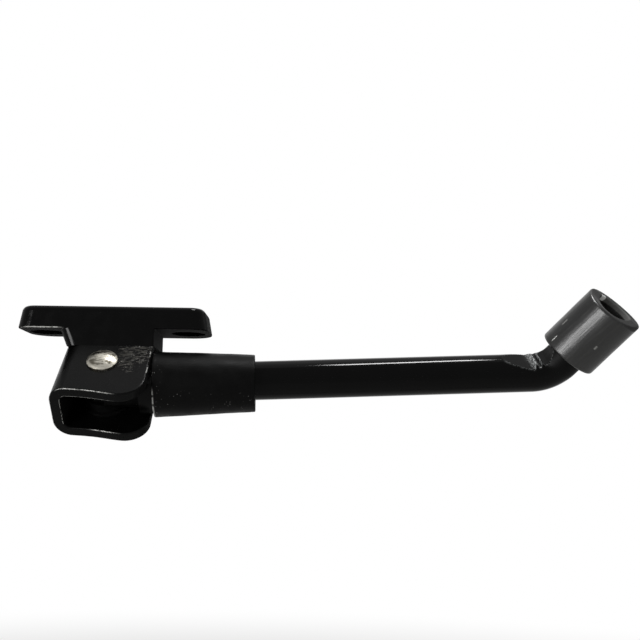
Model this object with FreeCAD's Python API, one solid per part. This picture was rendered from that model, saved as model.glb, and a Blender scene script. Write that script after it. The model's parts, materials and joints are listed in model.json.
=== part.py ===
import FreeCAD, Part
import math
import os
from FreeCAD import Placement, Rotation, Vector

# Side stand for an electric scooter. A cast plate bolts under the deck, and a folded clevis
# is welded below it. The leg turns on a rivet whose axis slants forward and up, so the leg
# swings from level under the deck to down and outward.
# Row frame: X along the deck, Y into the scooter, Z up, origin between the bolts on the top face.

# Mounting plate
plate_length = 79.0
plate_depth = 32.0
plate_thickness = 9.4
plate_end_draft = 1.8
plate_front_corner = 6.5
plate_rear_corner = 10.0
plate_top_round = 2.5
plate_edge_round = 0.5
bolt_spacing = 60.0
bolt_hole_d = 8.5
bolt_head_d = 14.5
bolt_head_depth = 5.5

# Neck under the plate
neck_left = 21.6
neck_left_draft = 3.0
neck_right = 17.8
neck_height = 7.2
neck_front_left_round = 4.5
neck_front_right_round = 0.8
neck_rear_round = 7.0

# Pivot and the two places where the leg rests, as turns from the X direction
pivot_tilt = 45.0
pivot_x = -1.3
stow_angle = 3.9
deploy_angle = 96.3

# Clevis, folded from sheet: sizes from the pivot
sheet = 4.3
clevis_gap = 16.6
bend_inner_r = 3.0
web_reach = 14.0
web_flare = 2.2
flange_reach = 18.8
front_reach = 18.8
flange_corner = 9.5
flange_top = 10.0
front_dip = 0.6
front_dip_share = 0.3
clevis_edge_round = 0.7

# Rivet, cam bush and washers
rivet_d = 8.0
rivet_head_d = 12.4
rivet_head_rim = 0.7
rivet_head_height = 2.7
bush_d = 13.0
cam_d = 15.6
cam_flat = 7.0
cam_width = 6.4
washer_d = 20.0
washer_thickness = 0.7

# Leg head: forked eye inside a turned barrel
side_gap = 0.3
turn_gap = 0.05
slide_gap = 0.05
eye_r = 8.8
fork_end = 30.0
barrel_start = 14.2
barrel_end = 58.0
ear_r = 12.2
ear_end = 19.7
barrel_wide_r = 11.9
barrel_narrow_r = 9.6
barrel_bore_r = 9.4
socket_start = 36.0
flange_clear = 0.7

# Detent plunger and spring
plunger_r = 4.45
plunger_length = 13.9
plunger_stem_r = 2.0
plunger_stem = 4.0
spring_mean_r = 3.2
spring_wire_r = 0.6
spring_turns = 5.5
seat_thickness = 2.0

# Leg tube
tube_d = 16.0
tube_wall = 2.2
leg_corner = 183.5
bend_angle = 51.0
bend_r = 16.0
bend_roll = 8.0
crease_length = 12.4
crease_depth = 2.7
crease_overlap = -1.0
foot_crease_length = 6.0
wrinkle_r = 1.3
wrinkle_height = 0.7
wrinkle_length = 13.0
wrinkle_shares = (0.05, 0.36)

# Rubber sleeve and foot
sleeve_start = 19.9
sleeve_end = 61.0
sleeve_wide_r = 13.5
sleeve_narrow_r = 11.8
sleeve_sag = 1.0
foot_d = 24.5
foot_start = 10.95
foot_length = 27.85
foot_slant = 4.3
foot_slant_roll = 33.2
foot_lip = 5.5
foot_lip_hole_d = 14.8
foot_edge_round = 1.0

# Cutters run this far past the surfaces they cut
over = 1.0

# Derived sizes
X_AXIS = Vector(1, 0, 0)
Y_AXIS = Vector(0, 1, 0)
Z_AXIS = Vector(0, 0, 1)
half_gap = clevis_gap / 2
half_clevis = half_gap + sheet
tilt_sin = math.sin(math.radians(pivot_tilt))
tilt_cos = math.cos(math.radians(pivot_tilt))
neck_bottom = -plate_thickness - neck_height
pivot_y = -plate_depth / 2 - (flange_top * tilt_cos - half_clevis * tilt_sin)
pivot_z = neck_bottom - (flange_top * tilt_sin + half_clevis * tilt_cos)
lug_outer = half_gap - washer_thickness - side_gap
cam_slot = cam_width + 2 * side_gap
tube_r = tube_d / 2
tube_bore_r = tube_r - tube_wall
bend_start = leg_corner - bend_r * math.tan(math.radians(bend_angle / 2))
foot_end = foot_start + foot_length
tube_end = foot_end - foot_lip
plunger_tip = cam_d / 2 + side_gap
plunger_back = plunger_tip + plunger_length
seat_start = socket_start - seat_thickness

# The flange corner that the leg passes is the arc's centre plus its radius from the pivot
front_normal = Vector(math.cos(math.radians(-deploy_angle)), math.sin(math.radians(-deploy_angle)), 0)
corner_x = flange_reach - flange_corner
corner_y = (front_reach - flange_corner - corner_x * front_normal.x) / front_normal.y
corner_sweep = math.hypot(corner_x, corner_y) + flange_corner
slot_end = corner_sweep + flange_clear

# The clevis frame lies at the pivot, Z along the rivet. The leg frame is turned to the stowed leg.
pivot = Vector(pivot_x, pivot_y, pivot_z)
clevis_frame = Placement(pivot, Rotation(X_AXIS, pivot_tilt))
leg_frame = Placement(pivot, Rotation(X_AXIS, pivot_tilt) * Rotation(Z_AXIS, stow_angle))


def placed(shape, frame):
    """The shape moved from a local frame to the row frame."""
    moved = shape.copy()
    moved.Placement = frame.multiply(moved.Placement)
    return moved


def slab(x, y, z):
    """A box given by its (low, high) limits on each axis."""
    size = [high - low for low, high in (x, y, z)]
    return Part.makeBox(*size, Vector(x[0], y[0], z[0]))


def rod(radius, start, end):
    """A cylinder along local X, the leg's direction."""
    return Part.makeCylinder(radius, end - start, Vector(start, 0, 0), X_AXIS)


def taper(start_r, end_r, start, end):
    """A cone along local X."""
    return Part.makeCone(start_r, end_r, end - start, Vector(start, 0, 0), X_AXIS)


def disc(radius, low, high):
    """A cylinder along local Z, the pivot's direction."""
    return Part.makeCylinder(radius, high - low, Vector(0, 0, low), Z_AXIS)


def rounded_outline(left, right, front, rear, radii, z):
    """A rectangle with its own radius at front left, front right, rear right and rear left."""
    spots = ((left, front), (right, front), (right, rear), (left, rear))
    corners = [Vector(x, y, z) for x, y in spots]
    edges = []
    ends = []
    for i, corner in enumerate(corners):
        before = (corners[i - 1] - corner).normalize() * radii[i]
        after = (corners[(i + 1) % 4] - corner).normalize() * radii[i]
        middle = corner + (before + after) * (1 - math.sqrt(0.5))
        edges.append(Part.Arc(corner + before, middle, corner + after).toShape())
        ends.append((corner + before, corner + after))
    sides = []
    for i in range(4):
        sides.append(edges[i])
        sides.append(Part.makeLine(ends[i][1], ends[(i + 1) % 4][0]))
    return Part.Wire(sides)


def edges_at(shape, test):
    """The edges whose every vertex passes the test."""
    return [edge for edge in shape.Edges if all(test(vertex.Point) for vertex in edge.Vertexes)]


def make_mount_plate():
    half = plate_length / 2
    deep = plate_depth / 2
    radii = (plate_front_corner, plate_front_corner, plate_rear_corner, plate_rear_corner)
    low = rounded_outline(-half, half, -deep, deep, radii, -plate_thickness)
    top_half = half - plate_end_draft
    top = rounded_outline(-top_half, top_half, -deep, deep, radii, 0)
    plate = Part.makeLoft([low, top], True, True)
    plate = plate.makeFillet(plate_top_round, edges_at(plate, lambda p: abs(p.z) < 0.01))
    neck_radii = (neck_front_left_round, neck_front_right_round, neck_rear_round, neck_rear_round)
    low_left = neck_left_draft - neck_left
    neck_low = rounded_outline(low_left, neck_right, -deep, deep, neck_radii, neck_bottom)
    neck_top = rounded_outline(-neck_left, neck_right, -deep, deep, neck_radii, -plate_thickness)
    neck = Part.makeLoft([neck_low, neck_top], True, True)
    plate = plate.fuse(neck).removeSplitter()
    underside = edges_at(plate, lambda p: abs(p.z + plate_thickness) < 0.01)
    plate = plate.makeFillet(plate_edge_round, underside)
    for side in (-1, 1):
        centre = Vector(side * bolt_spacing / 2, 0, -plate_thickness)
        plate = plate.cut(Part.makeCylinder(bolt_hole_d / 2, plate_thickness, centre))
        plate = plate.cut(Part.makeCylinder(bolt_head_d / 2, bolt_head_depth, centre))
    return plate


def clevis_outline():
    """The flange's outline: a straight right edge, a round corner and a dished front edge."""
    far = 3 * plate_depth
    along = Vector(front_normal.y, -front_normal.x, 0)
    corner = Vector(corner_x, corner_y, 0)
    right_end = corner + Vector(flange_corner, 0, 0)
    half_turn = math.radians(-deploy_angle / 2)
    middle = corner + Vector(math.cos(half_turn), math.sin(half_turn), 0) * flange_corner
    front_start = corner + front_normal * flange_corner
    front_end = front_start + along * far
    dip = Part.BSplineCurve()
    width = flange_reach + web_reach
    dip_end = front_start + along * width
    dip_low = front_start + along * (width * front_dip_share) - front_normal * front_dip
    dip.interpolate([front_start, dip_low, dip_end], InitialTangent=along, FinalTangent=along)
    top_right = Vector(flange_reach, far, 0)
    top_left = Vector(-far, far, 0)
    low_left = Vector(-far, front_end.y, 0)
    return Part.Wire([
        Part.makeLine(top_right, right_end),
        Part.Arc(right_end, middle, front_start).toShape(),
        dip.toShape(),
        Part.makeLine(dip_end, front_end),
        Part.makeLine(front_end, low_left),
        Part.makeLine(low_left, top_left),
        Part.makeLine(top_left, top_right),
    ])


def rim_edges(clevis, wire):
    """The long edges of the sheet where it was cut to the outline."""
    rim = []
    for edge in clevis.Edges:
        mid = edge.valueAt((edge.FirstParameter + edge.LastParameter) / 2)
        ends = [vertex.Point for vertex in edge.Vertexes]
        across = math.hypot(ends[0].x - ends[-1].x, ends[0].y - ends[-1].y)
        level = Part.Vertex(Vector(mid.x, mid.y, 0))
        near_top = max(end.y for end in ends) > 2 * plate_depth and across < sheet
        if across > over and not near_top and wire.distToShape(level)[0] < 0.01:
            rim.append(edge)
    return rim


def make_clevis():
    far = 3 * plate_depth
    outer = slab((-web_reach - sheet, far), (-far, far), (-half_clevis, half_clevis))
    inner = slab((-web_reach, far + over), (-far - over, far + over), (-half_gap, half_gap))
    left = -web_reach - sheet
    outer = outer.makeFillet(bend_inner_r + sheet, [
        edge for edge in edges_at(outer, lambda p: abs(p.x - left) < 0.01)
        if abs(edge.Vertexes[0].Point.y - edge.Vertexes[1].Point.y) > 1])
    inner = inner.makeFillet(bend_inner_r, [
        edge for edge in edges_at(inner, lambda p: abs(p.x + web_reach) < 0.01)
        if abs(edge.Vertexes[0].Point.y - edge.Vertexes[1].Point.y) > 1])
    channel = outer.cut(inner)
    # The web opens a little toward the front, where the leg's ear rests against it with the stand down
    channel.rotate(Vector(0, 0, 0), Z_AXIS, -web_flare)
    wire = clevis_outline()
    outline = Part.Face(wire)
    outline.translate(Vector(0, 0, -half_clevis - over))
    clevis = channel.common(outline.extrude(Vector(0, 0, 2 * (half_clevis + over))))
    clevis = clevis.makeFillet(clevis_edge_round, rim_edges(clevis, wire))
    clevis = clevis.cut(disc(rivet_d / 2, -half_clevis - over, half_clevis + over))
    clevis = placed(clevis, clevis_frame)
    below_neck = slab((-far, far), (-far, plate_depth / 2), (pivot_z - far, neck_bottom))
    return clevis.common(below_neck).removeSplitter()


def make_pivot_rivet():
    """Shank with a low domed head at each end, turned about the pivot."""
    head_r = rivet_head_d / 2
    rim = half_clevis + rivet_head_rim
    top = half_clevis + rivet_head_height
    rise = top - rim
    dome_r = (head_r ** 2 + rise ** 2) / (2 * rise)
    angle = math.asin(head_r / dome_r) / 2
    middle = Vector(dome_r * math.sin(angle), 0, top - dome_r * (1 - math.cos(angle)))

    def mirror(point):
        return Vector(point.x, point.y, -point.z)

    dome = [Vector(0, 0, top), middle, Vector(head_r, 0, rim)]
    under = [Vector(head_r, 0, half_clevis), Vector(rivet_d / 2, 0, half_clevis)]
    profile = Part.Wire([
        Part.Arc(*dome).toShape(),
        Part.makeLine(dome[2], under[0]),
        Part.makeLine(under[0], under[1]),
        Part.makeLine(under[1], mirror(under[1])),
        Part.makeLine(mirror(under[1]), mirror(under[0])),
        Part.makeLine(mirror(under[0]), mirror(dome[2])),
        Part.Arc(mirror(dome[2]), mirror(middle), mirror(dome[0])).toShape(),
        Part.makeLine(mirror(dome[0]), dome[0]),
    ])
    return placed(Part.Face(profile).revolve(Vector(0, 0, 0), Z_AXIS, 360), clevis_frame)


def make_pivot_cam():
    """Bush clamped between the flanges. Its middle has a flat for each place where the leg rests."""
    bush = disc(bush_d / 2, -half_gap, half_gap)
    cam = disc(cam_d / 2, -cam_width / 2, cam_width / 2)
    for angle in (stow_angle, -deploy_angle):
        beyond = slab((cam_flat, cam_d), (-cam_d, cam_d), (-cam_width, cam_width))
        beyond.rotate(Vector(0, 0, 0), Z_AXIS, angle)
        cam = cam.cut(beyond)
    bush = bush.fuse(cam).cut(disc(rivet_d / 2, -half_gap, half_gap))
    return placed(bush.removeSplitter(), clevis_frame)


def make_thrust_washer(side):
    low = half_gap - washer_thickness
    ring = disc(washer_d / 2, low, half_gap).cut(disc(bush_d / 2, low, half_gap))
    if side < 0:
        ring = ring.mirror(Vector(0, 0, 0), Z_AXIS)
    return placed(ring, clevis_frame)


def make_pivot_fork():
    """Forked eye: two lugs on the bush, and a round shank pressed in the barrel."""
    lug = slab((0, fork_end), (-eye_r, eye_r), (-lug_outer, lug_outer))
    lug = lug.common(rod(barrel_bore_r, 0, slot_end))
    fork = lug.fuse([disc(eye_r, -lug_outer, lug_outer), rod(barrel_bore_r, slot_end, fork_end)])
    slot = slab((-2 * eye_r, 0), (-2 * eye_r, 2 * eye_r), (-cam_slot / 2, cam_slot / 2))
    fork = fork.cut(slot)
    fork = fork.cut(disc(cam_d / 2 + side_gap, -cam_slot / 2, cam_slot / 2))
    fork = fork.cut(disc(bush_d / 2 + turn_gap, -half_gap, half_gap))
    fork = fork.cut(rod(plunger_r + slide_gap, bush_d / 4, fork_end))
    return placed(fork.removeSplitter(), leg_frame)


def barrel_cone():
    """The barrel's tapered outside, which the sleeve is stretched over."""
    return taper(barrel_wide_r, barrel_narrow_r, ear_end, barrel_end)


def make_leg_barrel():
    """Turned socket. Two ears stand between the flanges, and side slots let the flanges pass."""
    barrel = rod(ear_r, barrel_start, ear_end).fuse(barrel_cone())
    barrel = barrel.cut(rod(barrel_bore_r, barrel_start, socket_start))
    barrel = barrel.cut(rod(tube_r, socket_start, barrel_end))
    for side in (-1, 1):
        low = half_gap - side_gap
        slot = slab((0, slot_end), (-2 * ear_r, 2 * ear_r), (low, 2 * ear_r))
        if side < 0:
            slot = slot.mirror(Vector(0, 0, 0), Z_AXIS)
        barrel = barrel.cut(slot)
    return placed(barrel.removeSplitter(), leg_frame)


def make_detent_plunger():
    head = rod(plunger_r, plunger_tip, plunger_back)
    stem = rod(plunger_stem_r, plunger_back, plunger_back + plunger_stem)
    return placed(head.fuse(stem).removeSplitter(), leg_frame)


def make_detent_spring():
    """Round-wire coil between the plunger's shoulder and the seat."""
    first = plunger_back + spring_wire_r
    length = seat_start - spring_wire_r - first
    helix = Part.makeHelix(length / spring_turns, length, spring_mean_r)
    start = Vector(spring_mean_r, 0, 0)
    section = Part.Wire(Part.makeCircle(spring_wire_r, start, Y_AXIS))
    coil = Part.Wire(helix.Edges).makePipeShell([section], True, True)
    coil.Placement = Placement(Vector(first, 0, 0), Rotation(Y_AXIS, 90))
    return placed(coil, leg_frame)


def make_spring_seat():
    return placed(rod(barrel_bore_r, seat_start, socket_start), leg_frame)


def bent_rod(radius, start, end):
    """A round rod along the leg: straight, round the bend, then along the foot."""
    straight = rod(radius, start, bend_start)
    section = Part.Face(Part.Wire(Part.makeCircle(radius, Vector(bend_start, 0, 0), X_AXIS)))
    elbow = section.revolve(Vector(bend_start, 0, bend_r), Vector(0, -1, 0), bend_angle)
    toe = rod(radius, leg_corner - bend_start, end)
    return straight.fuse([elbow, placed(toe, toe_frame())])


def toe_frame():
    """X along the foot from the corner of the leg, Z toward the inside of the bend."""
    return Placement(Vector(leg_corner, 0, 0), Rotation(Y_AXIS, -bend_angle))


def crease_cut(length):
    """A flat pressed into the inside of the bend, from the surface at X 0 to its depth at X = length."""
    flat = slab((0, math.hypot(length, crease_depth)), (-tube_d, tube_d), (0, tube_r))
    flat.rotate(Vector(0, 0, 0), Y_AXIS, math.degrees(math.atan2(crease_depth, length)))
    return flat


def creases(surface_r):
    """The two flats beside the bend, below a surface of that radius."""
    leg_flat = crease_cut(crease_length)
    leg_flat.translate(Vector(bend_start - crease_length + crease_overlap, 0, surface_r))
    toe_flat = crease_cut(foot_crease_length).mirror(Vector(0, 0, 0), X_AXIS)
    toe_flat.translate(Vector(foot_start, 0, surface_r))
    return [leg_flat, placed(toe_flat, toe_frame())]


def wrinkle(share):
    """A small ridge across the inside of the bend, at a share of its turn."""
    angle = math.radians(bend_angle * share)
    reach = bend_r - tube_r - wrinkle_height + wrinkle_r
    x = bend_start + reach * math.sin(angle)
    z = bend_r - reach * math.cos(angle)
    return Part.makeCylinder(wrinkle_r, wrinkle_length, Vector(x, -wrinkle_length / 2, z), Y_AXIS)


def rolled(shape):
    """The bend's plane is turned a little about the leg, away from the pivot's direction."""
    shape.rotate(Vector(0, 0, 0), X_AXIS, -bend_roll)
    return placed(shape, leg_frame)


def make_leg_tube():
    """Bent tube. A former has pressed flats and folds into the inside of its bend, bore and all."""
    tube = bent_rod(tube_r, socket_start, tube_end)
    bore = bent_rod(tube_bore_r, socket_start - over, tube_end + over)
    tube = tube.cut(creases(tube_r))
    bore = bore.cut(creases(tube_bore_r))
    folds = Part.makeCompound([wrinkle(share) for share in wrinkle_shares])
    folds = folds.common(bent_rod(tube_r + wrinkle_height, bend_start - tube_d, foot_start))
    tube = tube.fuse(folds).cut(bore)
    return rolled(tube.removeSplitter())


def make_rubber_sleeve():
    """Tapered sleeve. It sags a little on the leg, so its outside turns down from the pivot."""
    sleeve = taper(sleeve_wide_r, sleeve_narrow_r, sleeve_start, sleeve_end)
    down = Vector(0, -tilt_sin, -tilt_cos)
    sleeve.rotate(Vector(0, 0, 0), X_AXIS.cross(down), sleeve_sag)
    sleeve = sleeve.cut(barrel_cone()).cut(rod(tube_r, barrel_end - over, sleeve_end + 2 * over))
    return placed(sleeve, leg_frame)


def make_rubber_foot():
    """Pressed-on foot with both ends cut at a small slant, and a lip that covers the tube's end."""
    half = foot_length * math.cos(math.radians(foot_slant)) / 2
    between = slab((-half, half), (-foot_d, foot_d), (-foot_d, foot_d))
    between.rotate(Vector(0, 0, 0), Vector(0, -1, 0), foot_slant)
    between.rotate(Vector(0, 0, 0), X_AXIS, -foot_slant_roll)
    between.translate(Vector((foot_start + foot_end) / 2, 0, 0))
    foot = rod(foot_d / 2, foot_start - foot_lip, foot_end + foot_lip).common(between)
    rims = [edge for edge in foot.Edges if edge.Closed and edge.Length > foot_d]
    foot = foot.makeFillet(foot_edge_round, rims)
    foot = foot.cut(rod(tube_r, foot_start - foot_lip, tube_end))
    foot = foot.cut(rod(foot_lip_hole_d / 2, tube_end, foot_end + foot_lip))
    return rolled(placed(foot, toe_frame()))


def main():
    os.makedirs("parts", exist_ok=True)
    parts = {
        "mount_plate": make_mount_plate(),
        "clevis": make_clevis(),
        "pivot_rivet": make_pivot_rivet(),
        "pivot_cam": make_pivot_cam(),
        "thrust_washer_front": make_thrust_washer(1),
        "thrust_washer_rear": make_thrust_washer(-1),
        "pivot_fork": make_pivot_fork(),
        "leg_barrel": make_leg_barrel(),
        "detent_plunger": make_detent_plunger(),
        "detent_spring": make_detent_spring(),
        "spring_seat": make_spring_seat(),
        "leg_tube": make_leg_tube(),
        "rubber_sleeve": make_rubber_sleeve(),
        "rubber_foot": make_rubber_foot(),
    }
    for name, shape in parts.items():
        shape.exportStep("parts/" + name + ".step")
        box = shape.BoundBox
        print(name, len(shape.Solids), shape.isValid(), round(shape.Volume), box)


main()
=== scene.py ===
import json
import math

import bpy
from mathutils import Matrix, Vector, noise


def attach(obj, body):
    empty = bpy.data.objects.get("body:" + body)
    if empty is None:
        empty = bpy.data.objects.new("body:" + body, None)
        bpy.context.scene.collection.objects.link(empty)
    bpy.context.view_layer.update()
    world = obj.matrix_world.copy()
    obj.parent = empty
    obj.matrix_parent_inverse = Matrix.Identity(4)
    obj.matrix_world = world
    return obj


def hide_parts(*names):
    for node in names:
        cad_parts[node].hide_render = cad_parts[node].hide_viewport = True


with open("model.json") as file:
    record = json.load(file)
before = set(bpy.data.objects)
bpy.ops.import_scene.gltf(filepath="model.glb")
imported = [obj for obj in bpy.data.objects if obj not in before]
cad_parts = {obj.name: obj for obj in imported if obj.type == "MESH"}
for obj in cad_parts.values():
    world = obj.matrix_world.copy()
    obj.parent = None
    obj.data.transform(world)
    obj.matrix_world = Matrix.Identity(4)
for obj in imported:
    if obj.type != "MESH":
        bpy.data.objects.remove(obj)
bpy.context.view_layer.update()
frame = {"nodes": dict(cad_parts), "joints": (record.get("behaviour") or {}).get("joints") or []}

nodes = frame["nodes"]
scene = bpy.context.scene
scene.view_settings.view_transform = "Standard"

# Sizes in metres, as in the part's source
MM = 0.001
pivot = Vector(next(j for j in frame["joints"] if j["name"] == "leg_fold")["pos_m"])
PIVOT_TILT = math.radians(45.0)
STOW = math.radians(3.9)
TUBE_R = 8.0 * MM
BORE_R = 5.8 * MM
SOCKET = 36.0 * MM
LEG_CORNER = 183.5 * MM
BEND_R = 16.0 * MM
BEND = math.radians(51.0)
BEND_ROLL = math.radians(-8.0)
FOOT_START = 10.95 * MM
FOOT_LENGTH = 27.85 * MM
FOOT_SLANT = math.tan(math.radians(4.3))
FOOT_SLANT_ROLL = math.radians(33.2)
FOOT_R = 12.25 * MM
FOOT_LIP = 5.5 * MM
LIP_HOLE_R = 7.4 * MM
SLEEVE = (19.9 * MM, 61.0 * MM)
SLEEVE_R = (13.5 * MM, 11.8 * MM)
SLEEVE_SAG = math.radians(1.0)
BARREL = (19.7 * MM, 58.0 * MM)
BARREL_R = (11.9 * MM, 9.6 * MM)
BEND_START = LEG_CORNER - BEND_R * math.tan(BEND / 2)
BEND_LENGTH = BEND_R * BEND
TOE_BEND_END = LEG_CORNER - BEND_START
FOOT_END = FOOT_START + FOOT_LENGTH
TUBE_END = FOOT_END - FOOT_LIP

clevis_frame = Matrix.Translation(pivot) @ Matrix.Rotation(PIVOT_TILT, 4, "X")
leg_frame = clevis_frame @ Matrix.Rotation(STOW, 4, "Z")
bend_frame = leg_frame @ Matrix.Rotation(BEND_ROLL, 4, "X")
toe_frame = bend_frame @ Matrix.Translation((LEG_CORNER, 0, 0)) @ Matrix.Rotation(-BEND, 4, "Y")


# Camera, as the photograph was taken: low, looking a little up
CAMERA_AT = Vector((0.08588, -0.43396, -0.06338))
CAMERA_RIGHT = Vector((0.99988205, -0.00213746, 0.01520883))
CAMERA_UP = Vector((-0.01535829, -0.13915669, 0.99015127))
LENS = 57.77
SENSOR = 36.0


def make_camera():
    data = bpy.data.cameras.new("camera")
    data.lens = LENS
    data.sensor_width = SENSOR
    data.clip_start = 10 * MM
    camera = bpy.data.objects.new("camera", data)
    scene.collection.objects.link(camera)
    right, up, back = CAMERA_RIGHT, CAMERA_UP, CAMERA_RIGHT.cross(CAMERA_UP)
    camera.matrix_world = Matrix((
        (right.x, up.x, back.x, CAMERA_AT.x),
        (right.y, up.y, back.y, CAMERA_AT.y),
        (right.z, up.z, back.z, CAMERA_AT.z),
        (0, 0, 0, 1),
    ))
    scene.camera = camera


class Surface:
    """A material being made: one shader, and short calls for the nodes that feed it."""

    def __init__(self, name, **values):
        self.material = bpy.data.materials.new(name)
        self.material.use_nodes = True
        self.tree = self.material.node_tree
        self.shader = self.tree.nodes["Principled BSDF"]
        self.normal = None
        self.point = self.add("ShaderNodeTexCoord").outputs["Object"]
        for socket, value in values.items():
            self.set(socket.replace("_", " "), value)

    def add(self, kind, **settings):
        made = self.tree.nodes.new(kind)
        for key, value in settings.items():
            setattr(made, key, value)
        return made

    def plug(self, socket, value):
        if isinstance(value, bpy.types.NodeSocket):
            self.tree.links.new(value, socket)
        else:
            socket.default_value = value

    def set(self, socket, value):
        if isinstance(value, tuple) and len(value) == 3:
            value = (*value, 1.0)
        self.plug(self.shader.inputs[socket], value)

    def moved(self, matrix=None, scale=(1, 1, 1)):
        """Object coordinates in a local frame, then stretched."""
        local = self.point
        if matrix is not None:
            turn = self.add("ShaderNodeMapping")
            inverse = matrix.inverted()
            self.plug(turn.inputs["Vector"], local)
            turn.inputs["Rotation"].default_value = inverse.to_euler()
            turn.inputs["Location"].default_value = inverse.to_translation()
            local = turn.outputs[0]
        stretch = self.add("ShaderNodeMapping")
        self.plug(stretch.inputs["Vector"], local)
        stretch.inputs["Scale"].default_value = scale
        return stretch.outputs[0]

    def noise(self, scale, detail=3.0, vector=None, roughness=0.5):
        made = self.add("ShaderNodeTexNoise")
        self.plug(made.inputs["Vector"], vector or self.point)
        made.inputs["Scale"].default_value = scale
        made.inputs["Detail"].default_value = detail
        made.inputs["Roughness"].default_value = roughness
        return made.outputs["Fac"]

    def spots(self, scale, vector=None):
        made = self.add("ShaderNodeTexVoronoi")
        self.plug(made.inputs["Vector"], vector or self.point)
        made.inputs["Scale"].default_value = scale
        return made.outputs["Distance"]

    def fit(self, value, low, high, to_low=0.0, to_high=1.0, smooth=True):
        made = self.add("ShaderNodeMapRange")
        made.interpolation_type = "SMOOTHSTEP" if smooth else "LINEAR"
        self.plug(made.inputs["Value"], value)
        made.inputs["From Min"].default_value = low
        made.inputs["From Max"].default_value = high
        made.inputs["To Min"].default_value = to_low
        made.inputs["To Max"].default_value = to_high
        return made.outputs["Result"]

    def vary(self, noise, low, high):
        """A noise, which lies mostly from 0.3 to 0.7, spread over a range."""
        return self.fit(noise, 0.3, 0.7, low, high)

    def calc(self, operation, a, b):
        made = self.add("ShaderNodeMath", operation=operation)
        self.plug(made.inputs[0], a)
        self.plug(made.inputs[1], b)
        return made.outputs[0]

    def product(self, first, *others):
        for other in others:
            first = self.calc("MULTIPLY", first, other)
        return first

    def most(self, first, *others):
        for other in others:
            first = self.calc("MAXIMUM", first, other)
        return first

    def magnitude(self, value):
        return self.calc("ABSOLUTE", value, 0.0)

    def reach(self, a, b):
        """Distance from an axis, from two coordinates across it."""
        return self.calc("SQRT", self.calc("ADD", self.product(a, a), self.product(b, b)), 0.0)

    def mix(self, factor, a, b):
        made = self.add("ShaderNodeMix", data_type="RGBA")
        self.plug(made.inputs["Factor"], factor)
        for socket, colour in ((made.inputs[6], a), (made.inputs[7], b)):
            self.plug(socket, (*colour, 1.0) if isinstance(colour, tuple) else colour)
        return made.outputs[2]

    def axes(self, vector):
        made = self.add("ShaderNodeSeparateXYZ")
        self.plug(made.inputs[0], vector)
        return made.outputs

    def facing(self):
        """Which way the surface looks: its normal along each of the object's axes."""
        return self.axes(self.add("ShaderNodeTexCoord").outputs["Normal"])

    def colour(self):
        """What colours the surface so far."""
        return self.shader.inputs["Base Color"].links[0].from_socket

    def wear(self, name="wear"):
        """One of the mesh's own wear masks, from 0 to 1."""
        return self.add("ShaderNodeAttribute", attribute_name=name).outputs["Fac"]

    def bump(self, height, strength, distance):
        made = self.add("ShaderNodeBump")
        made.inputs["Strength"].default_value = strength
        made.inputs["Distance"].default_value = distance
        self.plug(made.inputs["Height"], height)
        if self.normal is not None:
            self.plug(made.inputs["Normal"], self.normal)
        self.normal = made.outputs[0]
        self.set("Normal", self.normal)


PAINT_IOR = 1.2
DRY_ROUGH = 0.85


def grey(level):
    return (level, level, level)


def lacquer(name, peel=0.05):
    """Black lacquer with faint orange peel and a few grains under it."""
    paint = Surface(name, IOR=PAINT_IOR)
    paint.set("Base Color", paint.mix(paint.noise(60, 4), grey(0.0006), grey(0.0014)))
    paint.bump(paint.noise(420, 2), peel, 0.4 * MM)
    grains = paint.fit(paint.spots(330), 0.10, 0.02)
    scattered = paint.fit(paint.noise(90, 2), 0.62, 0.72)
    paint.bump(paint.product(grains, scattered), 0.5, 0.15 * MM)
    return paint


def black_paint(name, rough=(0.10, 0.20), peel=0.05):
    """Gloss black sprayed from the front and above, so that it is dry on the sides and below."""
    paint = lacquer(name, peel)
    nx, _, nz = paint.facing()
    sideways = paint.magnitude(nx)
    side = paint.fit(sideways, 0.75, 0.97)
    below = paint.fit(nz, -0.80, -0.97)
    lower_corner = paint.fit(paint.calc("SUBTRACT", sideways, nz), 1.05, 1.25)
    dry = paint.most(side, below, lower_corner)
    gloss = paint.vary(paint.noise(180, 5), *rough)
    paint.set("Roughness", paint.most(gloss, paint.product(dry, DRY_ROUGH)))
    return paint


def plate_paint():
    """Gloss black, with a painted highlight in pale grey along the lower edge of the plate's left end."""
    paint = black_paint("plate_paint")
    _, ny, nz = paint.facing()
    front_lower = paint.fit(paint.calc("ADD", ny, nz), -1.12, -1.32)
    left_end = paint.fit(paint.axes(paint.point)[0], -19 * MM, -23 * MM)
    uneven = paint.fit(paint.noise(500, 3), 0.34, 0.54, 0.2, 1.0)
    # Painted highlight along the front lower edge of the left end, broken up by noise
    marked = paint.product(front_lower, left_end, uneven)
    pale_grey = (0.45, 0.45, 0.43)
    paint.set("Base Color", paint.mix(marked, paint.colour(), pale_grey))
    return paint


def spatter(paint, u, v, front):
    """Paint sprayed thick and dry at the upper right of the front flange: flecks along it, lightened as a
    painted sheen, and grains painted pale as glints.
    """
    ragged = paint.fit(paint.noise(150, 4), 0.35, 0.65, -4 * MM, 4 * MM)
    right_side = paint.fit(paint.calc("ADD", u, ragged), -1 * MM, 9 * MM)
    upper = paint.fit(paint.calc("ADD", v, ragged), -9 * MM, 3 * MM)
    mask = paint.product(right_side, upper, front)
    flecks = paint.noise(1, 3, paint.moved(None, (380, 1700, 1700)), 0.55)
    height = paint.product(paint.fit(flecks, 0.40, 0.68), mask)
    scattered = paint.fit(paint.noise(260, 2), 0.46, 0.58)
    grains = paint.product(paint.fit(paint.spots(1100), 0.30, 0.10), scattered, mask)
    paint.bump(height, 0.4, 0.4 * MM)
    # Painted highlights: the flecks are lightened and the grains made pale to stand for glints
    fleck_colour, glint_colour = (0.060, 0.058, 0.052), (0.16, 0.155, 0.145)
    flecked = paint.mix(paint.fit(height, 0.1, 1.0), paint.colour(), fleck_colour)
    paint.set("Base Color", paint.mix(grains, flecked, glint_colour))


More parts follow.
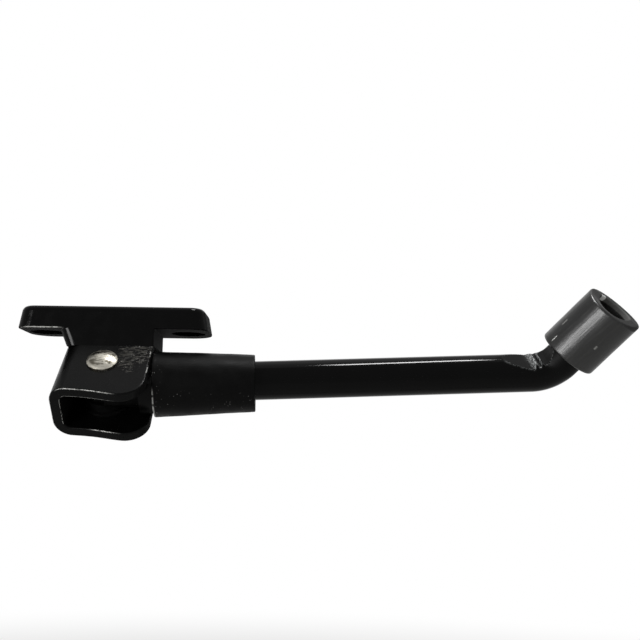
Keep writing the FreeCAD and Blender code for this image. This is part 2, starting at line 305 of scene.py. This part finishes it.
def clevis_paint():
    """Gloss black with spatter on the front flange, and painted highlights in pale grey on the edges of the
    mouth and on the flange's corner.
    """
    paint = black_paint("clevis_paint", (0.24, 0.34), 0.06)
    u, v, w = paint.axes(paint.moved(clevis_frame))
    front = paint.fit(w, 10 * MM, 12 * MM)
    spatter(paint, u, v, front)
    # The mouth's rounded edges are the only faces that look level to the front or straight down; they get a
    # dotted painted highlight
    nx, ny, nz = paint.facing()
    level = paint.product(paint.fit(ny, -0.86, -0.97), paint.fit(paint.magnitude(nz), 0.36, 0.15))
    not_rear_left = paint.most(paint.fit(w, -4 * MM, 0.0), paint.fit(u, -6 * MM, -1 * MM))
    below = paint.fit(nz, -0.86, -0.97)
    edge = paint.product(paint.most(paint.product(level, not_rear_left), below), paint.fit(u, 9 * MM, 2 * MM))
    dotted = paint.fit(paint.noise(900, 3), 0.36, 0.56, 0.25, 1.0)
    along_mouth = paint.product(edge, dotted, paint.fit(v, 0.0, -4 * MM))
    # The mouth's left end gets painted highlights too, on edges halfway between its rim and its sides
    to_rim = paint.calc("ADD", ny, nz)
    halfway = paint.product(paint.fit(to_rim, -0.85, -0.95), paint.fit(to_rim, -1.20, -1.10))
    no_tilt = paint.fit(paint.magnitude(paint.calc("SUBTRACT", ny, nz)), 0.45, 0.30)
    broken = paint.fit(paint.noise(1100, 3), 0.44, 0.56)
    left_end = paint.product(paint.fit(u, -10 * MM, -13 * MM), halfway, no_tilt, broken)
    # A sparse painted glint on the corner of the front flange, where the spatter reaches its edge
    turned = paint.product(paint.fit(nx, 0.30, 0.50), paint.fit(paint.calc("SUBTRACT", nz, ny), 0.50, 0.75))
    sparse = paint.fit(paint.noise(300, 3), 0.52, 0.60)
    corner = paint.product(turned, front, paint.fit(v, -10 * MM, -4 * MM), sparse)
    # Painted highlights: pale grey on the mouth's edges and the flange's corner
    pale_grey = (0.42, 0.42, 0.40)
    marked = paint.most(along_mouth, left_end, corner)
    paint.set("Base Color", paint.mix(marked, paint.colour(), pale_grey))
    return paint


def bright_rivet():
    """Nickel-bright rivet with the hammer's dints and drag marks on its low dome, a painted highlight ring
    near its rim and a painted dark outline at its edge.
    """
    metal = Surface("rivet_zinc", Metallic=1.0)
    local = metal.moved(clevis_frame)
    u, v, _ = metal.axes(local)
    reach = metal.reach(u, v)
    drag = metal.noise(1, 4, metal.moved(clevis_frame, (230, 800, 230)), 0.6)
    # Painted highlight: a bright ring near the dome's rim, dropping to the dull colour at its very edge as a
    # painted dark outline
    ring = metal.product(metal.fit(reach, 4.6 * MM, 5.6 * MM), metal.fit(reach, 6.15 * MM, 5.95 * MM))
    shade = metal.most(metal.fit(drag, 0.42, 0.58), ring)
    dull, bright = (0.16, 0.145, 0.115), (0.66, 0.63, 0.55)
    metal.set("Base Color", metal.mix(shade, dull, bright))
    metal.set("Roughness", metal.vary(metal.noise(500, 4, local), 0.26, 0.40))
    metal.bump(drag, 0.10, 0.4 * MM)
    return metal


def dark_steel():
    """Phosphated steel inside the head, a little oily, its colour near black as painted shade for the
    clevis's dark cavity.
    """
    metal = Surface("bare_steel", IOR=PAINT_IOR)
    cloud = metal.fit(metal.noise(240, 4), 0.35, 0.65)
    # Near-black colour: painted shade for the clevis's dark cavity
    metal.set("Base Color", metal.mix(cloud, grey(0.0006), grey(0.0016)))
    metal.set("Roughness", metal.vary(metal.noise(420, 4), 0.44, 0.62))
    metal.bump(metal.noise(1800, 3), 0.15, 0.2 * MM)
    return metal


def spring_steel():
    """Drawn wire."""
    metal = Surface("spring_steel", Metallic=1.0)
    dark, light = (0.20, 0.19, 0.18), (0.34, 0.33, 0.31)
    metal.set("Base Color", metal.mix(metal.noise(300, 3), dark, light))
    metal.set("Roughness", metal.vary(metal.noise(900, 3), 0.22, 0.40))
    metal.bump(metal.noise(2500, 2), 0.10, 0.1 * MM)
    return metal


def cut_steel():
    """Bare steel of the sawn tube end."""
    metal = Surface("cut_steel", Metallic=1.0)
    dark, light = (0.50, 0.49, 0.47), (0.80, 0.79, 0.76)
    metal.set("Base Color", metal.mix(metal.noise(400, 3), dark, light))
    metal.set("Roughness", metal.vary(metal.noise(900, 3), 0.18, 0.32))
    metal.bump(metal.noise(1, 2, metal.moved(toe_frame, (300, 300, 4000))), 0.25, 0.2 * MM)
    return metal


def black_nylon():
    """Moulded washers of black nylon, coloured near black as painted shade for the clevis's dark cavity."""
    plastic = Surface("washer_nylon", IOR=1.25)
    plastic.set("Base Color", plastic.mix(plastic.noise(300, 3), grey(0.0010), grey(0.0022)))
    plastic.set("Roughness", plastic.vary(plastic.noise(700, 3), 0.38, 0.55))
    plastic.bump(plastic.noise(2200, 2), 0.10, 0.1 * MM)
    return plastic


def sleeve_rubber():
    """Matt black rubber with fine grain, faint length marks, a little pale dust, and a painted highlight
    along the lower part of its rim by the clevis.
    """
    rubber = Surface("sleeve_rubber", IOR=1.18)
    dust_colour, rim_highlight_colour = (0.27, 0.27, 0.26), (0.30, 0.30, 0.29)
    local = rubber.moved(leg_frame)
    black = rubber.mix(rubber.noise(70, 5, local), grey(0.0005), grey(0.0012))
    along, height = rubber.axes(local)[0], rubber.axes(rubber.point)[2]
    # Dust gathers by the rim and in a band below the middle
    by_rim = rubber.fit(along, 28.5 * MM, 20.5 * MM, 0.0, 0.20)
    off_band = rubber.magnitude(rubber.calc("ADD", height, 38.5 * MM))
    low_band = rubber.fit(off_band, 4.0 * MM, 1.0 * MM, 0.0, 0.18)
    gathered = rubber.calc("ADD", rubber.noise(95, 3, local), rubber.most(by_rim, low_band))
    specks = rubber.fit(rubber.spots(1000, local), 0.16, 0.05)
    thinned = rubber.fit(rubber.noise(520, 1, local), 0.46, 0.58)
    dust = rubber.product(specks, rubber.fit(gathered, 0.55, 0.70), thinned)
    paled = rubber.mix(dust, black, dust_colour)
    # A broken painted highlight in pale grey along the lower part of the rim
    rim = rubber.fit(along, 20.6 * MM, 20.1 * MM)
    lower = rubber.fit(height, -33.5 * MM, -36.5 * MM)
    rim_band = rubber.product(rim, rubber.fit(rubber.noise(600, 2), 0.30, 0.52), lower)
    rubber.set("Base Color", rubber.mix(rim_band, paled, rim_highlight_colour))
    rubber.set("Roughness", rubber.vary(rubber.noise(210, 5, local), 0.36, 0.50))
    rubber.bump(rubber.noise(1, 3, rubber.moved(leg_frame, (160, 1400, 1400))), 0.10, 0.3 * MM)
    rubber.bump(rubber.noise(2600, 3, local), 0.12, 0.15 * MM)
    rubber.bump(dust, 0.4, 0.1 * MM)
    return rubber


def foot_rubber():
    """Dark grey satin rubber, drawn along its length, with a few pale nicks and a roughened end, a painted
    glint inside its hole, and painted light on the hole's far wall.
    """
    rubber = Surface("foot_rubber", IOR=1.60)
    dark, light, streak = (0.0018, 0.0018, 0.0017), (0.0036, 0.0036, 0.0034), (0.014, 0.014, 0.013)
    nick_and_lit_wall_colour, fleck_colour = (0.20, 0.20, 0.19), (0.88, 0.88, 0.86)
    scuff_rough = 0.8
    local = rubber.moved(toe_frame)
    cloud = rubber.mix(rubber.noise(90, 4, local), dark, light)
    drawn = rubber.noise(1, 4, rubber.moved(toe_frame, (60, 1700, 1700)), 0.6)
    streaked = rubber.mix(rubber.fit(drawn, 0.52, 0.75), cloud, streak)
    # A near-white painted glint just inside the hole, from the fleck mask
    glint_fleck = rubber.wear("glint_fleck")
    # The wear mask holds the pale nicks and the painted light on the hole's far wall
    nicked_and_lit = rubber.mix(rubber.wear(), streaked, nick_and_lit_wall_colour)
    rubber.set("Base Color", rubber.mix(glint_fleck, nicked_and_lit, fleck_colour))
    rim_band = rubber.fit(rubber.axes(local)[0], FOOT_END - 2.4 * MM, FOOT_END - 1.2 * MM)
    satin = rubber.most(rubber.vary(drawn, 0.30, 0.39), rubber.product(rim_band, scuff_rough))
    rubber.set("Roughness", rubber.product(satin, rubber.fit(glint_fleck, 0.0, 1.0, 1.0, 0.6)))
    rubber.bump(drawn, 0.17, 0.4 * MM)
    rubber.bump(rubber.noise(2200, 2, local), 0.10, 0.15 * MM)
    return rubber


def tube_paint():
    """Gloss black on the leg. It is crazed and worn on the folds of the bend, with a thin painted highlight
    along the edges of the pressed flat.
    """
    paint = lacquer("tube_paint", peel=0.03)
    pale_grey = (0.32, 0.33, 0.33)
    # The wear mask holds the worn folds and a painted highlight along the flat's edges; both take the pale
    # grey
    worn = paint.product(paint.wear(), paint.fit(paint.noise(1700, 4), 0.42, 0.56))
    paint.set("Base Color", paint.mix(worn, paint.colour(), pale_grey))
    # The paint by the foot was rubbed dull when the foot was pressed on
    by_foot = paint.fit(paint.axes(paint.moved(toe_frame))[0], 1 * MM, 7 * MM)
    paint.set("Roughness", paint.fit(paint.most(worn, by_foot), 0.0, 1.0, 0.07, 0.50, False))
    paint.bump(paint.product(paint.noise(1500, 4), paint.wear()), 0.6, 0.4 * MM)
    return paint


def build(name, points, faces, place, body, material, sharp, extra=()):
    """A mesh piece from local points, put in the row frame and on its body."""
    mesh = bpy.data.meshes.new(name)
    mesh.from_pydata([place @ Vector(p) for p in points], [], faces)
    mesh.validate()
    for polygon in mesh.polygons:
        polygon.use_smooth = True
    mesh.set_sharp_from_angle(angle=math.radians(sharp))
    mesh.materials.append(material)
    for other in extra:
        mesh.materials.append(other)
    piece = bpy.data.objects.new(name, mesh)
    scene.collection.objects.link(piece)
    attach(piece, body)
    return piece


def band(rings, count):
    """Quads between neighbouring rings of points, each ring closed on itself."""
    faces = []
    for ring in range(rings - 1):
        for i in range(count):
            j = (i + 1) % count
            a, b = ring * count, (ring + 1) * count
            faces.append((a + i, a + j, b + j, b + i))
    return faces


def closed_band(rings, count):
    """The same, with the last ring joined to the first, so that the piece has a wall."""
    faces = band(rings, count)
    last = (rings - 1) * count
    for i in range(count):
        j = (i + 1) % count
        faces.append((last + i, last + j, j, i))
    return faces


def add_wear(piece, values, name="wear"):
    wear = piece.data.attributes.new(name, "FLOAT", "POINT")
    wear.data.foreach_set("value", values)


def arc(centre, radius, start, end, steps):
    """Points (x, r) round a small edge, angles in degrees."""
    turns = [math.radians(start + (end - start) * i / steps) for i in range(steps + 1)]
    return [(centre[0] + radius * math.cos(t), centre[1] + radius * math.sin(t)) for t in turns]


def line(a, b, steps):
    return [(a[0] + (b[0] - a[0]) * i / steps, a[1] + (b[1] - a[1]) * i / steps) for i in range(steps + 1)]


def ease(value, low, high):
    t = max(0.0, min(1.0, (value - low) / (high - low)))
    return t * t * (3 - 2 * t)


# The leg tube: straight, round the bend, then along the foot, with the pressed crease inside the bend
AROUND = 128
WALL_LEFT = 1.3 * MM
# Edges sharper than this, in degrees, are not smoothed
TUBE_SHARP, RUBBER_SHARP = 28, 50
# Depth of the crease in mm at distances from the bend's start in mm: a long flat, two folds, a short flat
CREASE = (
    (-13.4, 0.0), (-1.2, 2.80), (-0.5, 2.60), (0.5, 0.95), (1.3, 0.85), (2.3, 2.15), (3.6, 2.30),
    (4.6, 1.15), (5.3, 1.10), (6.4, 2.10), (10.0, 2.00), (14.0, 1.10), (17.4, 0.0),
)
# The folds' crests: distance, half width and how rubbed they are
CRESTS = ((0.8, 1.5, 1.0), (4.9, 0.8, 0.5))
CREST_ROUGH = 0.13
# The folds lean round the tube and wander, in mm along it
FOLD_LEAN = 0.13
FOLD_WANDER = 0.35
# The flat's edges get this much painted highlight, within this half width
FLAT_EDGE_HIGHLIGHT = 0.22
FLAT_EDGE = 0.22 * MM
# Rings along each stretch of the tube
LEG_RINGS, CREASE_RINGS, BEND_RINGS, TOE_RINGS = 24, 64, 96, 48


def tube_path():
    """Places along the tube: (frame, distance from the bend's start)."""
    places = []
    crease_from = BEND_START + CREASE[0][0] * MM
    straight = [SOCKET + (crease_from - SOCKET) * i / LEG_RINGS for i in range(LEG_RINGS)]
    straight += [crease_from + (BEND_START - crease_from) * i / CREASE_RINGS for i in range(CREASE_RINGS)]
    for x in straight:
        places.append((bend_frame @ Matrix.Translation((x, 0, 0)), x - BEND_START))
    turn_at = bend_frame @ Matrix.Translation((BEND_START, 0, BEND_R))
    for i in range(BEND_RINGS):
        turn = Matrix.Rotation(-BEND * i / BEND_RINGS, 4, "Y") @ Matrix.Translation((0, 0, -BEND_R))
        places.append((turn_at @ turn, BEND_LENGTH * i / BEND_RINGS))
    for i in range(TOE_RINGS + 1):
        x = TOE_BEND_END + (TUBE_END - TOE_BEND_END) * i / TOE_RINGS
        places.append((toe_frame @ Matrix.Translation((x, 0, 0)), BEND_LENGTH + x - TOE_BEND_END))
    return places


def crease_at(distance, y):
    """How far the inside of the bend is pressed in at a distance along it, and how rubbed it is there."""
    at = distance / MM
    leaning = at + FOLD_LEAN * y / MM + FOLD_WANDER * noise.noise((y * 320, 0.7, 0.2))
    share = ease(at, -4.0, -1.0) * ease(-at, -9.5, -6.5)
    at += (leaning - at) * share
    depth = 0.0
    for (a, low), (b, high) in zip(CREASE, CREASE[1:]):
        if a <= at <= b:
            depth = low + (high - low) * (at - a) / (b - a)
    worn = 0.0
    for crest, half, marked in CRESTS:
        near = math.exp(-(((at - crest) / half) ** 2))
        worn = max(worn, marked * near)
        depth += CREST_ROUGH * marked * near * noise.noise((distance * 1100, y * 800, crest))
    return depth * MM, worn


def make_tube(paint, cut_end):
    """Bent tube with a wall. Its bore and sawn end are unpainted steel."""
    points, wear = [], []
    path = tube_path()
    circle = [2 * math.pi * i / AROUND for i in range(AROUND)]
    for place, distance in path:
        for angle in circle:
            y, z = TUBE_R * math.sin(angle), TUBE_R * math.cos(angle)
            depth, worn = crease_at(distance, y)
            top = TUBE_R - depth
            # The flat's edges take a painted highlight through the wear mask
            on_edge = math.exp(-(((z - top) / FLAT_EDGE) ** 2)) * ease(depth, 0.1 * MM, 0.6 * MM)
            worn = max(worn * ease(z, top - 0.6 * MM, top), FLAT_EDGE_HIGHLIGHT * on_edge)
            wear.append(worn if z > 0 else 0.0)
            points.append(place @ Vector((0, y, min(z, top))))
    outer = len(path)
    inner_path = path[::-1]
    for place, distance in inner_path:
        for angle in circle:
            y, z = BORE_R * math.sin(angle), BORE_R * math.cos(angle)
            top = TUBE_R - crease_at(distance, y)[0] - WALL_LEFT
            points.append(place @ Vector((0, y, min(z, top))))
            wear.append(0.0)
    faces = closed_band(outer + len(inner_path), AROUND)
    still = Matrix.Identity(4)
    tube = build("leg_tube_drawn", points, faces, still, "leg", paint, TUBE_SHARP, (cut_end,))
    for polygon in tube.data.polygons:
        if polygon.index >= (outer - 1) * AROUND:
            polygon.material_index = 1
    add_wear(tube, wear)
    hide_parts("leg_tube")


def barrel_r(x):
    share = (x - BARREL[0]) / (BARREL[1] - BARREL[0])
    return BARREL_R[0] + (BARREL_R[1] - BARREL_R[0]) * share


def sleeve_r(x):
    share = (x - SLEEVE[0]) / (SLEEVE[1] - SLEEVE[0])
    return SLEEVE_R[0] + (SLEEVE_R[1] - SLEEVE_R[0]) * share


SLEEVE_RIM = 0.45 * MM
# Steps round a rim, along the skin and along the barrel
RIM_STEPS, SKIN_STEPS, BARREL_STEPS = 5, 60, 20
# The skin's slack, and the faint rings near its narrow end
SLEEVE_SLACK = 0.10 * MM
SLEEVE_RINGING = 0.0072 * MM


def make_sleeve(rubber):
    """Moulded sleeve: its skin lies unevenly on the barrel, and its two rims are rounded."""
    rim = SLEEVE_RIM
    start, end = SLEEVE
    outside = arc((start + rim, sleeve_r(start) - rim), rim, 180, 90, RIM_STEPS)
    skin_from, skin_to = (start + rim, sleeve_r(start + rim)), (end - rim, sleeve_r(end - rim))
    outside += line(skin_from, skin_to, SKIN_STEPS)[1:-1]
    outside += arc((end - rim, sleeve_r(end) - rim), rim, 90, 0, RIM_STEPS)
    inside = [(end, TUBE_R), (BARREL[1], TUBE_R), (BARREL[1], barrel_r(BARREL[1]))]
    inside += line((BARREL[1], barrel_r(BARREL[1])), (start, barrel_r(start)), BARREL_STEPS)[1:]
    sag = Matrix.Rotation(SLEEVE_SAG, 4, Vector((0, math.cos(PIVOT_TILT), -math.sin(PIVOT_TILT))))
    points = []
    for k, (x, r) in enumerate(outside + inside):
        for i in range(AROUND):
            angle = 2 * math.pi * i / AROUND
            y, z = math.sin(angle), math.cos(angle)
            if k < len(outside):
                slack = noise.noise((x * 90, y * 1.6, z * 1.6)) + 0.4 * noise.noise((x * 260, y * 4, z * 4))
                ringing = math.sin(x * 2300) * ease(x, end - 9 * MM, end - 2 * MM)
                reach = r + SLEEVE_SLACK * (slack - 0.3) + SLEEVE_RINGING * ringing
                points.append(sag @ Vector((x, reach * y, reach * z)))
            else:
                points.append(Vector((x, r * y, r * z)))
    faces = closed_band(len(outside) + len(inside), AROUND)
    sleeve = build("sleeve_moulded", points, faces, leg_frame, "leg", rubber, RUBBER_SHARP)
    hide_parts("rubber_sleeve")


# Nicks in the foot: share along it, angle round it in degrees, length and half width in mm, depth in mm
NICKS = (
    (0.14, -15, 3.7, 0.22, 0.26),
    (0.42, -2, 3.3, 0.24, 0.14),
    (0.45, -86, 1.9, 0.34, 0.22),
    (0.30, 150, 3.0, 0.34, 0.22),
)
FOOT_AROUND = 192
# Steps round a rim, along the skin, across the end, round the lip and down the hole
FOOT_RIM_STEPS, FOOT_STEPS, END_STEPS, LIP_STEPS, HOLE_STEPS = 6, 110, 10, 4, 6
FOOT_RIM = 1.0 * MM
LIP_ROUND = 0.5 * MM
SKIN_WAVE = 0.05 * MM
# The side of the foot's end that meets the ground is worn back
END_WORN = 2.0 * MM
END_WORN_AT = math.radians(310)
# The lip of its hole is worn thin on the same side
LIP_WORN = 2.6 * MM
# The far wall of the hole is painted pale, as painted light, down to this depth
LIT_WALL_DEPTH = 2.1 * MM
LIT_WALL_SHARE = 0.42
# A painted glint just inside the hole, a near-white fleck: angle in degrees, depth and radius, and how ragged
# it is
FLECK = (64, 0.9 * MM, 1.6 * MM)
FLECK_RAGGED = 0.9 * MM


def foot_profile():
    """Rings of the foot as (x, r): its skin, then its end and hole, then its socket."""
    skin = arc((FOOT_START + FOOT_RIM, FOOT_R - FOOT_RIM), FOOT_RIM, 180, 90, FOOT_RIM_STEPS)
    skin += line((FOOT_START + FOOT_RIM, FOOT_R), (FOOT_END - FOOT_RIM, FOOT_R), FOOT_STEPS)[1:-1]
    skin += arc((FOOT_END - FOOT_RIM, FOOT_R - FOOT_RIM), FOOT_RIM, 90, 0, FOOT_RIM_STEPS)
    lit_wall_end = FOOT_END - LIT_WALL_DEPTH
    hole = line((FOOT_END, FOOT_R - FOOT_RIM), (FOOT_END, LIP_HOLE_R + LIP_ROUND), END_STEPS)[1:-1]
    hole += arc((FOOT_END - LIP_ROUND, LIP_HOLE_R + LIP_ROUND), LIP_ROUND, 0, -90, LIP_STEPS)
    hole += line((FOOT_END - LIP_ROUND, LIP_HOLE_R), (lit_wall_end, LIP_HOLE_R), HOLE_STEPS)[1:]
    hole += [(lit_wall_end - 0.3 * MM, LIP_HOLE_R), (TUBE_END, LIP_HOLE_R)]
    socket = [(TUBE_END, TUBE_R), (FOOT_START, TUBE_R)]
    return skin, hole, socket


def turned_from(angle, degrees):
    """How far an angle lies from a direction in degrees, in radians from -pi to pi."""
    return math.radians((math.degrees(angle) - degrees + 180) % 360 - 180)


def skin_at(x, angle):
    """How deep the skin lies at a place on the foot, and how pale its nicks are there."""
    cut = SKIN_WAVE * noise.noise((x * 120, math.sin(angle) * 2, math.cos(angle) * 2))
    pale = 0.0
    for share, turn, length, half, depth in NICKS:
        across = turned_from(angle, turn) * FOOT_R / (half * MM)
        along = (x - FOOT_START - share * FOOT_LENGTH) / (length * MM / 2)
        hit = math.exp(-across ** 2) * ease(1.15 - abs(along), 0, 0.5)
        cut += depth * MM * hit
        pale = max(pale, hit)
    return cut, pale


def hole_at(x, r, angle):
    """How far the hole's lip is worn outward, as a negative cut, and how much painted light its far wall
    gets.
    """
    near = math.cos(angle - END_WORN_AT)
    face = FOOT_R - FOOT_RIM
    worn = LIP_WORN * max(0.0, near) ** 3 * ease(face - r, 0.0, face - LIP_HOLE_R - LIP_ROUND)
    paled = r < LIP_HOLE_R + 0.2 * MM and x >= FOOT_END - LIT_WALL_DEPTH
    return -worn, LIT_WALL_SHARE * ease(-near, 0.0, 0.5) if paled else 0.0


def fleck_at(x, r, angle):
    """How strong the painted glint fleck inside the hole is at a place."""
    turn, depth, radius = FLECK
    away = math.hypot(turned_from(angle, turn) * r, r - LIP_HOLE_R, x - FOOT_END + depth)
    away += FLECK_RAGGED * noise.noise((math.degrees(angle) * 0.11, r * 700, 0.4))
    return ease(radius - away, 0.0, 0.3 * MM)


def end_shift(x, y, z):
    """How far a point of the foot is set back by its slanted, worn end."""
    slant = FOOT_SLANT * (y * math.sin(FOOT_SLANT_ROLL) + z * math.cos(FOOT_SLANT_ROLL))
    worn = END_WORN * max(0.0, y * math.sin(END_WORN_AT) + z * math.cos(END_WORN_AT)) / FOOT_R
    return slant + worn * (x - FOOT_START) / FOOT_LENGTH


def make_foot(rubber):
    """Pressed-on foot: rounded rims, a turned-in lip at its open end, and nicks from use."""
    skin, hole, socket = foot_profile()
    rings = skin + hole + socket
    points, wear, glint_fleck = [], [], []
    for k, (x, r) in enumerate(rings):
        for i in range(FOOT_AROUND):
            angle = 2 * math.pi * i / FOOT_AROUND
            cut, pale = 0.0, 0.0
            if k < len(skin):
                cut, pale = skin_at(x, angle)
            elif k < len(skin) + len(hole):
                cut, pale = hole_at(x, r, angle)
            y, z = (r - cut) * math.sin(angle), (r - cut) * math.cos(angle)
            # The socket's bottom stays flat on the tube's end
            points.append((x if x == TUBE_END else x - end_shift(x, y, z), y, z))
            wear.append(pale)
            glint_fleck.append(fleck_at(x, r, angle))
    faces = closed_band(len(rings), FOOT_AROUND)
    foot = build("foot_moulded", points, faces, toe_frame, "leg", rubber, RUBBER_SHARP)
    add_wear(foot, wear)
    add_wear(foot, glint_fleck, "glint_fleck")
    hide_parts("rubber_foot")


def dress(node, surface):
    """A CAD node keeps its shape and takes a finished surface."""
    piece = nodes[node]
    piece.data.materials.clear()
    piece.data.materials.append(surface)


make_camera()
dress("mount_plate", plate_paint().material)
dress("clevis", clevis_paint().material)
dress("leg_barrel", black_paint("barrel_paint", (0.26, 0.38)).material)
dress("pivot_rivet", bright_rivet().material)
dress("detent_spring", spring_steel().material)
inner_steel, nylon = dark_steel().material, black_nylon().material
for node in ("pivot_cam", "pivot_fork", "detent_plunger", "spring_seat"):
    dress(node, inner_steel)
for node in ("thrust_washer_front", "thrust_washer_rear"):
    dress(node, nylon)
make_tube(tube_paint().material, cut_steel().material)
make_sleeve(sleeve_rubber().material)
make_foot(foot_rubber().material)


# Stage: a pale floor below the lowest reach of the leg, in a pale room that is white on the far side
FLOOR_Z = -0.25
FLOOR_SIZE = 60.0
ROOM = 0.45
# The room is white where a direction's share along +Y is past these
WHITE_FROM = (0.60, 0.85)
# The white is only for what is seen, mirrored or seen through
SEEN_RAYS = ("Is Camera Ray", "Is Glossy Ray", "Is Transmission Ray")
# The lit floor gives way to the room's brightness between these distances
FLOOR_FADE = (0.20, 0.95)
# Lamps: name, place, target, size and watts
LAMPS = (
    ("strip", (0.17, -0.05, 0.50), (0.15, -0.02, 0.0), (0.16, 0.05), 1.8),
    ("key", (-1.05, -1.28, 0.0), (0.19, -0.02, -0.01), (0.72, 0.48), 19.4),
    ("top", (-0.05, 0.10, 1.00), (-0.05, 0.0, 0.0), (0.90, 0.90), 0.9),
)


def make_floor():
    """Lit near the object, where it takes the shadow. Far off it is as bright as the room behind it."""
    half = FLOOR_SIZE / 2
    mesh = bpy.data.meshes.new("floor")
    corners = [(-half, -half, FLOOR_Z), (half, -half, FLOOR_Z), (half, half, FLOOR_Z), (-half, half, FLOOR_Z)]
    mesh.from_pydata(corners, [], [(0, 1, 2, 3)])
    floor = bpy.data.objects.new("floor", mesh)
    scene.collection.objects.link(floor)
    pale = Surface("floor", Base_Color=(0.62, 0.62, 0.61), Roughness=0.8)
    path = pale.add("ShaderNodeLightPath")
    seen = pale.most(*(path.outputs[ray] for ray in SEEN_RAYS))
    x, y, _ = pale.axes(pale.point)
    reach = pale.reach(x, y)
    glow = pale.add("ShaderNodeEmission")
    pale.plug(glow.inputs["Strength"], pale.fit(pale.calc("DIVIDE", y, reach), *WHITE_FROM, ROOM, 1.0))
    mix = pale.add("ShaderNodeMixShader")
    pale.plug(mix.inputs[0], pale.product(seen, pale.fit(reach, *FLOOR_FADE)))
    pale.plug(mix.inputs[1], pale.shader.outputs[0])
    pale.plug(mix.inputs[2], glow.outputs[0])
    pale.plug(pale.tree.nodes["Material Output"].inputs["Surface"], mix.outputs[0])
    mesh.materials.append(pale.material)


def make_world():
    """The room: even light, and white on the far side where it is seen, mirrored or seen through."""
    world = bpy.data.worlds.new("room")
    scene.world = world
    world.use_nodes = True
    tree = world.node_tree

    def calc(operation, *values):
        node = tree.nodes.new("ShaderNodeMath")
        node.operation = operation
        for socket, value in zip(node.inputs, values):
            if isinstance(value, float):
                socket.default_value = value
            else:
                tree.links.new(value, socket)
        return node.outputs[0]

    background = tree.nodes["Background"]
    background.inputs["Color"].default_value = (1.0, 1.0, 1.0, 1.0)
    split = tree.nodes.new("ShaderNodeSeparateXYZ")
    tree.links.new(tree.nodes.new("ShaderNodeTexCoord").outputs["Generated"], split.inputs[0])
    far_side = tree.nodes.new("ShaderNodeMapRange")
    far_side.interpolation_type = "SMOOTHSTEP"
    tree.links.new(split.outputs["Y"], far_side.inputs["Value"])
    far_side.inputs["From Min"].default_value, far_side.inputs["From Max"].default_value = WHITE_FROM
    path = tree.nodes.new("ShaderNodeLightPath")
    camera, glossy, clear = (path.outputs[ray] for ray in SEEN_RAYS)
    seen = calc("MAXIMUM", calc("MAXIMUM", camera, glossy), clear)
    white = calc("MULTIPLY", seen, far_side.outputs["Result"])
    tree.links.new(calc("MULTIPLY_ADD", white, 1.0 - ROOM, ROOM), background.inputs["Strength"])


def make_lamp(name, place, target, size, watts):
    data = bpy.data.lights.new(name, "AREA")
    data.shape = "RECTANGLE"
    data.size, data.size_y = size
    data.energy = watts
    lamp = bpy.data.objects.new(name, data)
    scene.collection.objects.link(lamp)
    lamp.visible_camera = False
    lamp.location = place
    lamp.rotation_euler = (Vector(target) - Vector(place)).to_track_quat("-Z", "Y").to_euler()


make_floor()
make_world()
for lamp in LAMPS:
    make_lamp(*lamp)
